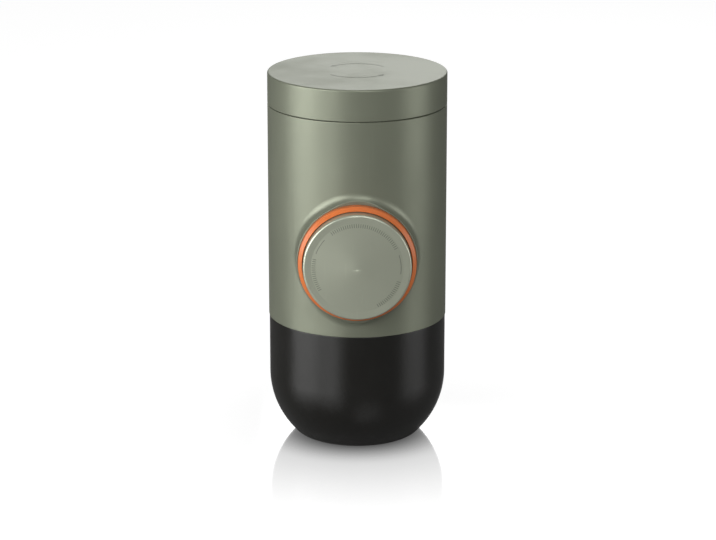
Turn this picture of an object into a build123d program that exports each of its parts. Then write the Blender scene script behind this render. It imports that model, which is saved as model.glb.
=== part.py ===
from build123d import *
import math
import os

# Handheld manual espresso maker: a round-bottomed cup carries an upright barrel. Inside the barrel
# a water tank stands over a hand pump, and the pump's knob comes out of the front. The brew head
# hangs under the pump, inside the cup.
# Frame: millimetres, +Z up, origin on the barrel's axis in the plane that the cup stands on, and
# the knob faces -Y.

# ---------------------------------------------------------------- outside
BODY_R = 31.5            # barrel and lid, outside
BARREL_WALL = 2.0
BARREL_LENGTH = 76.6
SEAM_EDGE = 0.25         # rounding of the edges that meet at a seam
LID_GAP = 0.2            # between barrel and lid
LID_HEIGHT = 11.1
LID_WALL = 1.8
LID_TOP = 2.0
LID_EDGE = 0.6

# ---------------------------------------------------------------- cup
CUP_HEIGHT = 44.0
CUP_INSET = 0.2          # the cup is this much slimmer than the barrel
CUP_WALL = 2.0
CUP_FLOOR = 3.0
CUP_STRAIGHT_Z = 22.6    # above this the cup's wall is straight
CUP_DOME_SPAN = 31.0     # half axes of the ellipse that closes the cup
CUP_DOME_DROP = 30.4
CUP_FOOT_EDGE = 5.0

# ---------------------------------------------------------------- knob, collar and sleeve
KNOB_RISE = 27.6         # cup's seam to the pump's axis
KNOB_R = 18.7
KNOB_PROUD = 8.2         # barrel's surface to the knob's front rim
KNOB_WALL = 1.4
KNOB_FACE = 2.0
KNOB_CONE = 2.0          # how far the face rises to its middle
KNOB_BAND = 2.8          # flat band around the conical face
KNOB_EDGE = 0.8
KNOB_LENGTH = 43.2       # front rim to the rear end of the skirt
COLLAR_FIT = 0.3         # knob to collar, radial
COLLAR_WALL = 1.4
COLLAR_PROUD = 4.5       # barrel's surface to the collar's front
COLLAR_LAND = 0.2        # flat left beside the knob by the bevel of the front
COLLAR_EDGE = 0.3
COLLAR_NECK = 1.0        # wall of the collar's rear part, which stops the lugs
COLLAR_HOLE_FIT = 0.1
KNOB_BOSS_WALL = 0.4     # width of the boss's lip around the collar
KNOB_BOSS_PROUD = 1.1    # barrel's surface to the boss's flat front
KNOB_BOSS_BLEND = 3.5    # radius that blends the boss into the barrel
KNOB_BOSS_EDGE = 0.25
SLEEVE_FIT = 0.1
SLEEVE_WALL = 1.1
SLEEVE_GAP = 0.3         # sleeve to the barrel's inner wall
STROKE = 20.0
LUG_LENGTH = 3.0
LUG_HEIGHT = 1.2
LUG_ANGLE = 30.0
TAB_ANGLE = 40.0
TAB_LENGTH = 3.0
LOCK_COUNT = 3
STOP_GAP = 0.5           # between the lugs and the collar with the knob fully out
LOCK_GAP = 0.3

SOCKET_SHARE = 0.6       # depth of a screw's socket, as a share of its head

# ---------------------------------------------------------------- plunger
HUB_LENGTH = 4.0
RETAINER_T = 1.6
RETAINER_GAP = 2.3       # retainer to the knob's inner wall
ROD_R = 4.0
ROD_HEAD_R = 6.0
ROD_TIP_R = 2.5
ROD_TIP_LENGTH = 4.0
TURN_FIT = 0.1           # turning and loose fits, radial
HUB_SCREW_INSET = 2.2    # rod's head to the screws' circle
HUB_SCREW_R = 0.9
HUB_SCREW_HEAD_R = 1.6
HUB_SCREW_HEAD_T = 0.9
HUB_SCREW_LENGTH = 4.6
HUB_SCREW_COUNT = 3

# ---------------------------------------------------------------- pump
BORE_R = 6.5
CYLINDER_WALL = 2.5
CYLINDER_LIP = 3.0       # bore left in front of the piston with the knob fully out
CHAMBER_LENGTH = 4.0     # left behind the piston at the end of its stroke
PUMP_CLEAR = 2.4         # end cap's face to the barrel's inner wall, on the axis
PISTON_LENGTH = 5.0
PISTON_FIT = 0.08
SEAL_GROOVE = 1.5
SEAL_WIDTH = 1.4
FLANGE_T = 2.8
FLANGE_GAP = 1.7         # between the knob's skirt and the flange
EAR_OVERHANG = 1.4       # sleeve's outside to the ears' circle
EAR_R = 2.4
EAR_LENGTH = 17.0
EAR_SCREW_R = 0.9
EAR_SCREW_HEAD_R = 1.7
EAR_SCREW_HEAD_T = 1.2
EAR_SCREW_LENGTH = 9.0
EAR_COUNT = 4
REAR_BOSS_WALL = 3.7
REAR_BOSS_LENGTH = 8.0
END_PLUG_LENGTH = 1.5
END_GROOVE = 0.75
END_FLANGE_T = 1.6
END_SCREW_INSET = 2.0    # bore to the screws' circle
END_SCREW_R = 0.8
END_SCREW_HEAD_R = 1.4
END_SCREW_HEAD_T = 0.4
END_SCREW_LENGTH = 5.0
END_SCREW_COUNT = 4
RETURN_SPRING_INSET = 3.0    # retainer's edge to the middle of the wire
RETURN_WIRE = 1.4
RETURN_TURNS = 8

# ---------------------------------------------------------------- valves
VALVE_LEAD = 1.6         # piston's rear face, fully in, to the valves' axis
PORT_R = 1.5
POCKET_R = 3.0
VALVE_BOSS_WALL = 1.6
POCKET_FLOOR = 2.4       # wall between the bore and each valve pocket
SEAT_T = 2.0
SEAT_FIT = 0.05
POPPET_FIT = 0.6         # poppet to its pocket, radial
POPPET_T = 1.2
POPPET_STEM_R = 0.9
POPPET_STEM_GAP = 1.0    # stem to the pocket's end with the valve open
VALVE_LIFT = 1.2
VALVE_SPRING_R = 1.6
VALVE_WIRE = 0.35
VALVE_SPRING_TURNS = 5
VALVE_SPRING_LENGTH = 5.3

# ---------------------------------------------------------------- tank
TANK_WALL = 1.8
TANK_FLOOR = 1.8
TANK_FIT = 0.3           # tank to the barrel's inner wall
TANK_CLEAR = 0.4         # tank and brew head to the guide sleeve
NECK_BORE_TAPER = 2.8
BARREL_TOP_T = 1.7       # the barrel's inward rim that holds the tank's shoulder
NECK_SEAL_T = 1.0
NECK_CLEAR = 0.5
SPIGOT_R = 2.8
SPIGOT_LENGTH = 4.2
SPIGOT_BORE_R = 1.5
SPIGOT_SEAL_WIDTH = 0.7
SPIGOT_SEAL_H = 1.8
LID_GASKET_T = 1.5
LID_GASKET_OVERHANG = 1.4
LINER_PLATE_T = 1.1
LINER_FIT = 0.1
LINER_WALL = 1.7
VENT_HEAD_R = 4.5
VENT_HEAD_T = 0.7
VENT_STEM_R = 1.3
VENT_HOLE_R = 0.5
VENT_HOLE_CIRCLE_R = 3.0
VENT_HOLES = 6

# ---------------------------------------------------------------- threads
LID_LEAD = 18.0
LID_STARTS = 4
LID_RIB_SPAN = 50.0
HOLDER_LEAD = 14.0
HOLDER_STARTS = 3
HOLDER_RIB_SPAN = 70.0
RIB_T = 1.2
RIB_DEPTH = 1.1
RIB_GAP = 0.4            # rib tip to the wall opposite
RIB_PLAY = 0.15          # between the flanks that bear on each other
RIB_SINK = 0.3           # how far a rib's root goes into its wall

# ---------------------------------------------------------------- brew head
PLATE_T = 4.4
PLATE_FIT = 0.2
SKIRT_LENGTH = 8.0       # how far the skirt reaches into the cup
SKIRT_WALL = 2.4
CUP_SEAL_SQUEEZE = 0.1
CUP_SEAL_H = 1.8
CUP_SEAL_WIDTH = 1.0
CUP_SEAL_DROP = 4.0      # seam to the middle of the seal
WATERWAY_R = 1.3
WATERWAY_END = 6.0
PLENUM_H = 1.0
SCREEN_FIT = 0.6         # screen to the gasket around it
SCREEN_T = 0.6
SCREEN_BOSS_R = 3.5
SCREEN_RIM_W = 1.2
SCREEN_HOLE_R = 0.6
SCREEN_HOLE_PITCH = 4.2
SCREEN_SCREW_R = 1.2
SCREEN_SCREW_HEAD_R = 2.4
SCREEN_SCREW_HEAD_T = 1.0
GROUP_GASKET_T = 3.4
GROUP_GASKET_W = 2.1
BASKET_WALL = 0.4
BASKET_RIM_T = 0.5
BASKET_RIM_W = 2.5
BASKET_DEPTH = 19.7
BASKET_HOLE_R = 0.5
BASKET_HOLE_PITCH = 4.0
HOLE_EDGE = 1.5          # plain edge around a hole pattern
GROUP_SCREW_INSET = 3.1  # skirt's inner wall to the screws' circle
GROUP_SCREW_R = 1.25
GROUP_SCREW_HEAD_R = 2.2
GROUP_SCREW_HEAD_T = 1.6
GROUP_SCREW_COUNT = 4
GROUP_BOSS_R = 3.0
GROUP_BOSS_CLEAR = 0.8   # boss to the guide sleeve
GROUP_BOSS_ROOF = 0.5
OUTLET_SEAL_T = 1.0

# ---------------------------------------------------------------- filter holder
HOLDER_WALL = 2.2
HOLDER_LEDGE_H = 3.0
HOLDER_FIT = 0.4
HOLDER_RIM_H = 1.6
HOLDER_RIM_FIT = 0.4
HOLDER_STEP = 1.7        # recess of the basket's rim to the holder's inner wall
HOLDER_SUMP = 3.0        # space under the basket
HOLDER_FLOOR = 2.0
HOLDER_FUNNEL = 4.0
HOLDER_BOTTOM_R = 9.0
NOZZLE_R = 5.0
NOZZLE_BORE_R = 1.0
NOZZLE_LENGTH = 2.6
NOZZLE_STEM_R = 2.9

# ---------------------------------------------------------------- places that follow
BARREL_BOTTOM_Z = CUP_HEIGHT
BARREL_TOP_Z = BARREL_BOTTOM_Z + BARREL_LENGTH
LID_Z = BARREL_TOP_Z + LID_GAP
TOP_Z = LID_Z + LID_HEIGHT
BARREL_IN_R = BODY_R - BARREL_WALL
KNOB_Z = BARREL_BOTTOM_Z + KNOB_RISE
KNOB_FRONT = BODY_R + KNOB_PROUD
KNOB_REAR = KNOB_FRONT - KNOB_LENGTH
CUP_R = BODY_R - CUP_INSET
CUP_IN_R = CUP_R - CUP_WALL

COLLAR_BORE_R = KNOB_R + COLLAR_FIT
COLLAR_R = COLLAR_BORE_R + COLLAR_WALL
COLLAR_NECK_R = COLLAR_BORE_R + COLLAR_NECK
COLLAR_FRONT = BODY_R + COLLAR_PROUD
KNOB_BOSS_R = COLLAR_R + COLLAR_HOLE_FIT + KNOB_BOSS_WALL
KNOB_BOSS_FRONT = BODY_R + KNOB_BOSS_PROUD
SLEEVE_BORE_R = COLLAR_NECK_R + SLEEVE_FIT
SLEEVE_R = SLEEVE_BORE_R + SLEEVE_WALL
LUG_R = KNOB_R + LUG_HEIGHT
LUG_FRONT = KNOB_REAR + LUG_LENGTH
COLLAR_REAR = LUG_FRONT + STROKE + STOP_GAP
TAB_REAR = LUG_FRONT + LOCK_GAP
SLEEVE_REAR = KNOB_REAR - FLANGE_GAP
FLANGE_REAR = SLEEVE_REAR - FLANGE_T

KNOB_FACE_REAR = KNOB_FRONT - KNOB_FACE
KNOB_BORE_R = KNOB_R - KNOB_WALL
RETAINER_R = KNOB_BORE_R - RETAINER_GAP
RETURN_SPRING_R = RETAINER_R - RETURN_SPRING_INSET
HUB_SCREW_CIRCLE_R = ROD_HEAD_R + HUB_SCREW_INSET
HUB_REAR = KNOB_FACE_REAR - HUB_LENGTH
RETAINER_REAR = HUB_REAR - RETAINER_T

CAP_REAR = PUMP_CLEAR - BARREL_IN_R
BODY_REAR = CAP_REAR + END_FLANGE_T
CHAMBER_REAR = BODY_REAR + END_PLUG_LENGTH
PISTON_REAR = CHAMBER_REAR + CHAMBER_LENGTH
PISTON_FRONT = PISTON_REAR + PISTON_LENGTH
CYLINDER_FRONT = PISTON_FRONT + STROKE + CYLINDER_LIP
SEAL_MIDDLE = (PISTON_FRONT + PISTON_REAR) / 2
SEAL_GROOVE_R = BORE_R - SEAL_GROOVE
CYLINDER_R = BORE_R + CYLINDER_WALL
REAR_BOSS_R = BORE_R + REAR_BOSS_WALL
END_SCREW_CIRCLE_R = BORE_R + END_SCREW_INSET
EAR_CIRCLE_R = SLEEVE_R + EAR_OVERHANG
PLUG_R = BORE_R - SEAT_FIT
PLUG_GROOVE_R = PLUG_R - END_GROOVE

TANK_R = BARREL_IN_R - TANK_FIT
TANK_BOTTOM_Z = KNOB_Z + SLEEVE_R + TANK_CLEAR
TANK_FLOOR_Z = TANK_BOTTOM_Z + TANK_FLOOR
SHOULDER_Z = BARREL_TOP_Z - BARREL_TOP_T - NECK_SEAL_T
LINER_TOP_Z = TOP_Z - LID_TOP
LINER_PLATE_Z = LINER_TOP_Z - LINER_PLATE_T
RIM_Z = LINER_PLATE_Z - LID_GASKET_T
LINER_R = BODY_R - LID_WALL - LINER_FIT
LINER_BORE_R = LINER_R - LINER_WALL
NECK_R = LINER_BORE_R - RIB_GAP - RIB_DEPTH
NECK_BORE_R = NECK_R - TANK_WALL
LINER_Z = LID_Z + LID_EDGE
LINER_RIB_Z = LINER_Z + SEAM_EDGE
NECK_RIB_Z = LINER_RIB_Z + RIB_T + RIB_PLAY

PLATE_TOP_Z = KNOB_Z - SLEEVE_R - TANK_CLEAR
PLATE_Z = PLATE_TOP_Z - PLATE_T
PLATE_R = BARREL_IN_R - PLATE_FIT
SKIRT_R = CUP_IN_R - PLATE_FIT
SKIRT_IN_R = SKIRT_R - SKIRT_WALL
SKIRT_Z = CUP_HEIGHT - SKIRT_LENGTH
SCREEN_Z = PLATE_Z - PLENUM_H - SCREEN_T
BASKET_RIM_Z = PLATE_Z - GROUP_GASKET_T
HOLDER_SEAT_Z = BASKET_RIM_Z - BASKET_RIM_T
BASKET_Z = BASKET_RIM_Z - BASKET_DEPTH
HOLDER_R = SKIRT_IN_R - RIB_DEPTH - RIB_GAP
HOLDER_IN_R = HOLDER_R - HOLDER_WALL
BASKET_RIM_R = HOLDER_IN_R - HOLDER_STEP - HOLDER_RIM_FIT
BASKET_R = BASKET_RIM_R - BASKET_RIM_W
SUMP_Z = BASKET_Z - HOLDER_SUMP
FUNNEL_Z = SUMP_Z - HOLDER_FUNNEL
HOLDER_Z = FUNNEL_Z - HOLDER_FLOOR
NOZZLE_Z = HOLDER_Z - NOZZLE_LENGTH
GROUP_GASKET_IN_R = BASKET_RIM_R - GROUP_GASKET_W
SCREEN_R = GROUP_GASKET_IN_R - SCREEN_FIT
GROUP_SCREW_CIRCLE_R = SKIRT_IN_R - GROUP_SCREW_INSET
GROUP_SCREW_SEAT_Z = PLATE_Z + GROUP_SCREW_HEAD_T
GROUP_BOSS_X = GROUP_SCREW_CIRCLE_R / math.sqrt(2) - GROUP_BOSS_R
GROUP_BOSS_Z = KNOB_Z - math.sqrt(SLEEVE_R ** 2 - GROUP_BOSS_X ** 2) - GROUP_BOSS_CLEAR
GROUP_SCREW_TIP_Z = GROUP_BOSS_Z - GROUP_BOSS_ROOF - LOCK_GAP
GROUP_RIB_Z = SKIRT_Z + RIB_PLAY
HOLDER_RIB_Z = GROUP_RIB_Z + RIB_T + RIB_PLAY
CUP_SEAL_Z = CUP_HEIGHT - CUP_SEAL_DROP
CUP_SEAL_IN_R = SKIRT_R - CUP_SEAL_WIDTH

INLET_POCKET_Z = KNOB_Z + BORE_R + POCKET_FLOOR
INLET_SEAT_Z = INLET_POCKET_Z + VALVE_SPRING_LENGTH + POPPET_T
INLET_TOP_Z = TANK_BOTTOM_Z - TANK_CLEAR
OUTLET_SEAT_Z = KNOB_Z - BORE_R - POCKET_FLOOR
OUTLET_GLAND_Z = OUTLET_SEAT_Z - POPPET_T - VALVE_SPRING_LENGTH - SEAT_T
OUTLET_BOTTOM_Z = PLATE_TOP_Z + OUTLET_SEAL_T
SPIGOT_SEAL_Z = INLET_TOP_Z - SPIGOT_SEAL_H - SEAT_FIT
SPIGOT_SEAL_R = SPIGOT_R + SPIGOT_SEAL_WIDTH + SEAT_FIT
POPPET_STEM = VALVE_SPRING_LENGTH - VALVE_LIFT - POPPET_STEM_GAP
POPPET_R = POCKET_R - POPPET_FIT
VALVE_BOSS_R = POCKET_R + VALVE_BOSS_WALL
VALVE_OFFSET = VALVE_LEAD - PISTON_REAR

PUMP_AXIS = Location((0, 0, KNOB_Z)) * Rotation(90, 0, 0)    # local +Z is the knob's way out
VALVE_AXIS = Location((0, VALVE_OFFSET, 0))
ON_Z = (Align.CENTER, Align.CENTER, Align.MIN)
FROM_X = (Align.MIN, Align.CENTER, Align.MIN)
CUT = 1.0                # how far a cutting solid runs past what it cuts
LONG = 200.0             # a length beyond the whole object
SAME = 0.01              # two places closer than this are the same place


def rod(radius, z0, z1):
    """Upright cylinder from z0 to z1."""
    return Pos(0, 0, z0) * Cylinder(radius, z1 - z0, align=ON_Z)


def ring(outer_r, inner_r, z0, z1):
    """Upright tube from z0 to z1."""
    return rod(outer_r, z0, z1) - rod(inner_r, z0 - CUT, z1 + CUT)


def arc_ring(outer_r, inner_r, z0, z1, span_deg):
    """Part of an upright tube, span_deg wide and centred on +X."""
    outline = Polyline((inner_r, z0), (outer_r, z0), (outer_r, z1), (inner_r, z1), close=True)
    sector = revolve(Plane.XZ * make_face(outline), Axis.Z, revolution_arc=span_deg)
    return Rotation(0, 0, -span_deg / 2) * sector


def around(shape, count, radius, first_deg=0.0):
    """Copies of shape, evenly spaced on a circle about Z."""
    turns = [first_deg + 360 / count * i for i in range(count)]
    return [Rotation(0, 0, turn) * Pos(radius, 0, 0) * shape for turn in turns]


def between(shape, count, radius):
    """As around, turned by half a step."""
    return around(shape, count, radius, 180 / count)


def cut_all(body, tools):
    for tool in tools:
        body = body - tool
    return body


def add_all(body, extras):
    for extra in extras:
        body = body + extra
    return body


def turned(*points):
    """Solid of revolution about Z from (radius, z) corners."""
    face = Plane.XZ * make_face(Polyline(*points, close=True))
    return revolve(face, Axis.Z)


def helical_rib(inner_r, outer_r, z0, lead, start_deg, span_deg):
    """One thread rib of rectangular section, whose lower flank starts at z0."""
    middle_r = (inner_r + outer_r) / 2
    path = Helix(pitch=lead, height=lead * span_deg / 360, radius=middle_r)
    section = Plane.XZ * Pos(middle_r, RIB_T / 2) * Rectangle(outer_r - inner_r, RIB_T)
    rib = sweep(section, path=path, is_frenet=True)
    return Pos(0, 0, z0) * Rotation(0, 0, start_deg) * rib


def ribs(inner_r, outer_r, z0, lead, starts, span_deg):
    turns = [360 / starts * i for i in range(starts)]
    return [helical_rib(inner_r, outer_r, z0, lead, turn, span_deg) for turn in turns]


def coil(mean_r, wire, length, turns, z0):
    """Compression spring standing on z0."""
    rise = length - wire - 2 * RIB_PLAY
    path = Helix(pitch=rise / turns, height=rise, radius=mean_r)
    section = Plane(origin=path @ 0, z_dir=path % 0) * Circle(wire / 2)
    return Pos(0, 0, z0 + wire / 2 + RIB_PLAY) * sweep(section, path=path, is_frenet=True)


def screw(shank_r, head_r, head_t, length):
    """Screw along +Z with its head below z = 0 and a hexagon socket in the head."""
    socket = Pos(0, 0, -head_t) * extrude(RegularPolygon(head_r / 2, 6), head_t * SOCKET_SHARE)
    return rod(shank_r, 0, length) + rod(head_r, -head_t, 0) - socket


def hole_rings(pitch, radius):
    """Places of a round hole pattern that fills radius: 6, 12, 18 ... holes on rings a pitch apart."""
    places = []
    for i in range(1, int((radius - HOLE_EDGE) / pitch) + 1):
        places += [(pitch * i, 360 / (6 * i) * k) for k in range(6 * i)]
    return places


def perforate(plate, hole_r, z0, z1, pitch, radius):
    hole = rod(hole_r, z0 - CUT, z1 + CUT)
    tools = [Rotation(0, 0, turn) * Pos(r, 0, 0) * hole for r, turn in hole_rings(pitch, radius)]
    return plate - tools


# ---------------------------------------------------------------- cup
def dome_r(z, span, drop, centre_r):
    """Radius of the cup's elliptical wall at height z."""
    return centre_r + span * math.sqrt(1 - ((CUP_STRAIGHT_Z - z) / drop) ** 2)


def dome_face(wall_r, top_z, span, drop, floor_z):
    """Half section of the space inside the cup's outer or inner wall."""
    centre_r = wall_r - span
    angle = math.degrees(math.asin((CUP_STRAIGHT_Z - floor_z) / drop))
    foot = (dome_r(floor_z, span, drop, centre_r), floor_z)
    arc = EllipticalCenterArc((centre_r, CUP_STRAIGHT_Z), span, drop, start_angle=-angle, arc_size=angle)
    rest = Polyline((wall_r, CUP_STRAIGHT_Z), (wall_r, top_z), (0, top_z), (0, floor_z), foot)
    return Plane.XZ * make_face(arc + rest)


def make_cup_shell():
    outside = revolve(dome_face(CUP_R, CUP_HEIGHT, CUP_DOME_SPAN, CUP_DOME_DROP, 0), Axis.Z)
    outside = fillet(outside.edges().group_by(Axis.Z)[0], CUP_FOOT_EDGE)
    in_span = CUP_DOME_SPAN - CUP_WALL
    in_drop = CUP_DOME_DROP - CUP_WALL
    inside = revolve(dome_face(CUP_IN_R, CUP_HEIGHT + CUT, in_span, in_drop, CUP_FLOOR), Axis.Z)
    rim = outside.edges().group_by(Axis.Z)[-1]
    return fillet(rim, SEAM_EDGE) - inside


# ---------------------------------------------------------------- barrel
def group_boss():
    """Screw boss for the brew head, on its own axis, with a web towards +X for the barrel's wall."""
    post = rod(GROUP_BOSS_R, PLATE_TOP_Z, GROUP_BOSS_Z)
    reach = BODY_R - BARREL_WALL / 2 - GROUP_SCREW_CIRCLE_R
    height = GROUP_BOSS_Z - PLATE_TOP_Z
    web = Pos(0, 0, PLATE_TOP_Z) * Box(reach, 2 * GROUP_BOSS_R, height, align=FROM_X)
    hole = rod(GROUP_SCREW_R, PLATE_TOP_Z - CUT, GROUP_SCREW_TIP_Z + LOCK_GAP)
    return post + web - hole


def add_knob_boss(outside):
    """Barrel with a round boss for the knob, blended in all round and cut flat in front."""
    post = PUMP_AXIS * rod(KNOB_BOSS_R, 0, BODY_R + 2 * KNOB_BOSS_BLEND)
    barrel = outside + post
    seam = barrel.edges().filter_by(lambda e: on_radius(e, BODY_R) and e.geom_type != GeomType.CIRCLE)
    barrel = fillet(seam, KNOB_BOSS_BLEND) - PUMP_AXIS * rod(BODY_R, KNOB_BOSS_FRONT, LONG)
    rim = barrel.edges().filter_by(Plane.XZ).filter_by(lambda e: abs(e.center().Y + KNOB_BOSS_FRONT) < SAME)
    return fillet(rim, KNOB_BOSS_EDGE)


def make_barrel_shell():
    outside = rod(BODY_R, BARREL_BOTTOM_Z, BARREL_TOP_Z)
    rims = outside.edges().filter_by(GeomType.CIRCLE)
    outside = add_knob_boss(fillet(rims, SEAM_EDGE))
    bore = rod(BARREL_IN_R, BARREL_BOTTOM_Z - CUT, BARREL_TOP_Z - BARREL_TOP_T)
    mouth = rod(NECK_R + NECK_CLEAR, BARREL_TOP_Z - BARREL_TOP_T - CUT, BARREL_TOP_Z + CUT)
    shell = add_all(outside - bore - mouth, between(group_boss(), GROUP_SCREW_COUNT, GROUP_SCREW_CIRCLE_R))
    return shell - PUMP_AXIS * rod(COLLAR_R + COLLAR_HOLE_FIT, 0, LONG)


def circles_of(shape, radius):
    """The shape's round edges of this radius."""
    circles = shape.edges().filter_by(GeomType.CIRCLE)
    return [edge for edge in circles if abs(edge.radius - radius) < SAME]


def make_knob_collar():
    """Tube around the knob: a wide bevelled front in the barrel's hole and a slimmer neck inside."""
    front = PUMP_AXIS * rod(COLLAR_R, 0, COLLAR_FRONT) - rod(BARREL_IN_R + COLLAR_HOLE_FIT, 0, LONG)
    collar = front + PUMP_AXIS * rod(COLLAR_NECK_R, COLLAR_REAR, COLLAR_FRONT)
    collar = chamfer(circles_of(collar, COLLAR_R), COLLAR_WALL - COLLAR_LAND)
    collar = fillet(circles_of(collar, COLLAR_R), COLLAR_EDGE)
    return collar - PUMP_AXIS * rod(COLLAR_BORE_R, 0, LONG)


def on_radius(edge, radius):
    """True where the whole edge lies on the upright cylinder of this radius."""
    places = [edge @ share for share in (0.1, 0.37, 0.8)]
    return all(abs(math.hypot(p.X, p.Y) - radius) < SAME for p in places)


def make_guide_sleeve():
    tube = ring(SLEEVE_R, SLEEVE_BORE_R, SLEEVE_REAR, BODY_R)
    ear = rod(EAR_R, SLEEVE_REAR, SLEEVE_REAR + EAR_LENGTH)
    tube = add_all(tube, between(ear, EAR_COUNT, EAR_CIRCLE_R))
    tube = tube - rod(SLEEVE_BORE_R, SLEEVE_REAR - CUT, BODY_R + CUT)
    hole = rod(EAR_SCREW_R + TURN_FIT, SLEEVE_REAR - CUT, SLEEVE_REAR + EAR_SCREW_LENGTH)
    tube = cut_all(tube, between(hole, EAR_COUNT, EAR_CIRCLE_R))
    tab = arc_ring(SLEEVE_BORE_R + RIB_SINK, COLLAR_BORE_R, TAB_REAR, TAB_REAR + TAB_LENGTH, TAB_ANGLE)
    tube = add_all(tube, between(tab, LOCK_COUNT, 0))
    return PUMP_AXIS * tube & rod(BARREL_IN_R - SLEEVE_GAP, 0, LONG)


# ---------------------------------------------------------------- knob and plunger
def make_knob_shell():
    band_r = KNOB_R - KNOB_BAND
    shell = turned((0, KNOB_FRONT + KNOB_CONE), (band_r, KNOB_FRONT), (KNOB_R, KNOB_FRONT),
                   (KNOB_R, KNOB_REAR), (KNOB_BORE_R, KNOB_REAR), (KNOB_BORE_R, KNOB_FACE_REAR),
                   (0, KNOB_FACE_REAR))
    rim = [edge for edge in circles_of(shell, KNOB_R) if abs(edge.center().Z - KNOB_FRONT) < SAME]
    shell = fillet(rim, KNOB_EDGE)
    lug = arc_ring(LUG_R, KNOB_R - RIB_SINK, KNOB_REAR, LUG_FRONT, LUG_ANGLE)
    return PUMP_AXIS * add_all(shell, around(lug, LOCK_COUNT, 0))


def make_knob_hub():
    hub = ring(KNOB_BORE_R - TURN_FIT / 2, ROD_HEAD_R + TURN_FIT, HUB_REAR, KNOB_FACE_REAR)
    hole = rod(HUB_SCREW_R, HUB_REAR - CUT, HUB_REAR + HUB_SCREW_LENGTH - RETAINER_T + LOCK_GAP)
    return PUMP_AXIS * cut_all(hub, around(hole, HUB_SCREW_COUNT, HUB_SCREW_CIRCLE_R))


def make_hub_retainer():
    plate = ring(RETAINER_R, ROD_R + TURN_FIT, RETAINER_REAR, HUB_REAR)
    hole = rod(HUB_SCREW_R + TURN_FIT, RETAINER_REAR - CUT, HUB_REAR + CUT)
    return PUMP_AXIS * cut_all(plate, around(hole, HUB_SCREW_COUNT, HUB_SCREW_CIRCLE_R))


def make_hub_screws():
    one = screw(HUB_SCREW_R, HUB_SCREW_HEAD_R, HUB_SCREW_HEAD_T, HUB_SCREW_LENGTH)
    screws = Compound(around(one, HUB_SCREW_COUNT, HUB_SCREW_CIRCLE_R))
    return PUMP_AXIS * Pos(0, 0, RETAINER_REAR) * screws


def make_piston_rod():
    shaft = rod(ROD_R, PISTON_FRONT, KNOB_FACE_REAR) + rod(ROD_HEAD_R, HUB_REAR, KNOB_FACE_REAR)
    return PUMP_AXIS * (shaft + rod(ROD_TIP_R, PISTON_FRONT - ROD_TIP_LENGTH, PISTON_FRONT))


def make_piston_head():
    head = rod(BORE_R - PISTON_FIT, PISTON_REAR, PISTON_FRONT)
    half = SEAL_WIDTH / 2 + TURN_FIT
    groove = ring(BORE_R + CUT, SEAL_GROOVE_R, SEAL_MIDDLE - half, SEAL_MIDDLE + half)
    socket = rod(ROD_TIP_R + SEAT_FIT, PISTON_FRONT - ROD_TIP_LENGTH, PISTON_FRONT + CUT)
    return PUMP_AXIS * (head - groove - socket)


def make_piston_seal():
    half = SEAL_WIDTH / 2
    return PUMP_AXIS * ring(BORE_R - SEAT_FIT, SEAL_GROOVE_R + SEAT_FIT, SEAL_MIDDLE - half,
                            SEAL_MIDDLE + half)


def make_return_spring():
    length = RETAINER_REAR - SLEEVE_REAR
    return PUMP_AXIS * coil(RETURN_SPRING_R, RETURN_WIRE, length, RETURN_TURNS, SLEEVE_REAR)


# ---------------------------------------------------------------- pump
def make_pump_body():
    """Cylinder with its mounting flange, rear boss, and the inlet and outlet valve bosses."""
    ear = rod(EAR_R, FLANGE_REAR, SLEEVE_REAR)
    flange = rod(SLEEVE_R, FLANGE_REAR, SLEEVE_REAR)
    flange = add_all(flange, between(ear, EAR_COUNT, EAR_CIRCLE_R))
    hole = rod(EAR_SCREW_R + TURN_FIT, FLANGE_REAR - CUT, SLEEVE_REAR + CUT)
    flange = cut_all(flange, between(hole, EAR_COUNT, EAR_CIRCLE_R))
    barrel = rod(CYLINDER_R, BODY_REAR, CYLINDER_FRONT)
    boss = rod(REAR_BOSS_R, BODY_REAR, BODY_REAR + REAR_BOSS_LENGTH)
    bores = rod(BORE_R, BODY_REAR - CUT, CYLINDER_FRONT + CUT)
    end_hole_tip = BODY_REAR + END_SCREW_LENGTH - END_FLANGE_T + LOCK_GAP
    end_hole = rod(END_SCREW_R, BODY_REAR - CUT, end_hole_tip)
    end_holes = between(end_hole, END_SCREW_COUNT, END_SCREW_CIRCLE_R)
    body = PUMP_AXIS * (flange + barrel + boss)
    body = body + VALVE_AXIS * rod(VALVE_BOSS_R, OUTLET_BOTTOM_Z, INLET_TOP_Z)
    cap_seat = rod(REAR_BOSS_R + TURN_FIT, BODY_REAR - LONG, BODY_REAR)
    body = body - PUMP_AXIS * bores - PUMP_AXIS * cap_seat
    body = cut_all(body, [PUMP_AXIS * tool for tool in end_holes])
    inlet_pocket = rod(POCKET_R, INLET_POCKET_Z, INLET_TOP_Z + CUT)
    outlet_pocket = rod(POCKET_R, OUTLET_BOTTOM_Z - CUT, OUTLET_SEAT_Z)
    port = rod(PORT_R, OUTLET_SEAT_Z - CUT, INLET_POCKET_Z + CUT)
    seal_seat = rod(SPIGOT_SEAL_R + SEAT_FIT, SPIGOT_SEAL_Z - SEAT_FIT, INLET_TOP_Z + CUT)
    return body - VALVE_AXIS * (inlet_pocket + outlet_pocket + port) - VALVE_AXIS * seal_seat


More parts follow.
